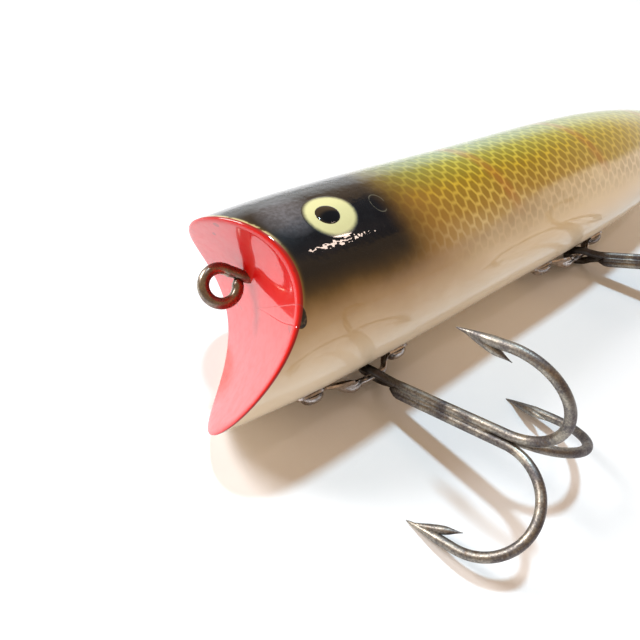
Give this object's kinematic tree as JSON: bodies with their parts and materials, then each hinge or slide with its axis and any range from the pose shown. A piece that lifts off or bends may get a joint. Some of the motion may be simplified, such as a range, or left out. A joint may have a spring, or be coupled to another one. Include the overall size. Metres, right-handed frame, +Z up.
{
  "type": "topwater popper",
  "caption": "Turned wooden topwater popper with a scooped red mouth, painted eyes, a line-tie ring and swinging treble hooks.",
  "frame": {"origin": "on the table under the middle of the lure's bounding box, as it lies on its side", "axes": "+X runs from head to tail along the table, +Z is up from the table, and the back of the lure leans towards +Y with its belly and hooks towards -Y"},
  "size_m": [0.1254, 0.0458, 0.0232],
  "materials": {
    "body_paint": "airbrushed enamel under gloss lacquer",
    "wire_bronze": "dark patina",
    "hanger_nickel": "aged nickel plate",
    "screw_steel": "aged nickel plate",
    "hook_steel": "bronzed, lightly rusted",
    "iris_enamel": "gloss enamel",
    "pupil_enamel": "gloss enamel"
  },
  "bodies": {
    "lure": {"body": "body_paint", "line_tie_screw_eye": "wire_bronze", "eye_iris_left": "iris_enamel", "eye_iris_right": "iris_enamel", "eye_pupil_left": "pupil_enamel", "eye_pupil_right": "pupil_enamel", "front_hanger": "hanger_nickel", "front_hanger_screw_fore": "screw_steel", "front_hanger_screw_aft": "screw_steel", "rear_hanger": "hanger_nickel", "rear_hanger_screw_fore": "screw_steel", "rear_hanger_screw_aft": "screw_steel", "tail_cup": "hanger_nickel", "tail_screw_eye": "wire_bronze"},
    "front_treble": {"front_treble_double": "hook_steel", "front_treble_single": "hook_steel"},
    "rear_treble": {"rear_treble_double": "hook_steel", "rear_treble_single": "hook_steel"},
    "tail_treble": {"tail_treble_double": "hook_steel", "tail_treble_single": "hook_steel"}
  },
  "joints": [
    {"name": "front_treble_swing", "type": "hinge", "parent": "lure", "child": "front_treble", "pos_m": [-0.04172, 0.00155, 0.00258], "axis": [0.9996, 0.02, -0.0189], "range_deg": [-28, 140]},
    {"name": "rear_treble_swing", "type": "hinge", "parent": "lure", "child": "rear_treble", "pos_m": [-0.00091, 0.00267, 0.00206], "axis": [0.9991, 0.0416, 0.0003], "range_deg": [-28, 140]},
    {"name": "tail_treble_swing", "type": "hinge", "parent": "lure", "child": "tail_treble", "pos_m": [0.03711, 0.0111, 0.00819], "axis": [-0.0275, 0.6658, -0.7457], "range_deg": [-95, 95]}
  ]
}
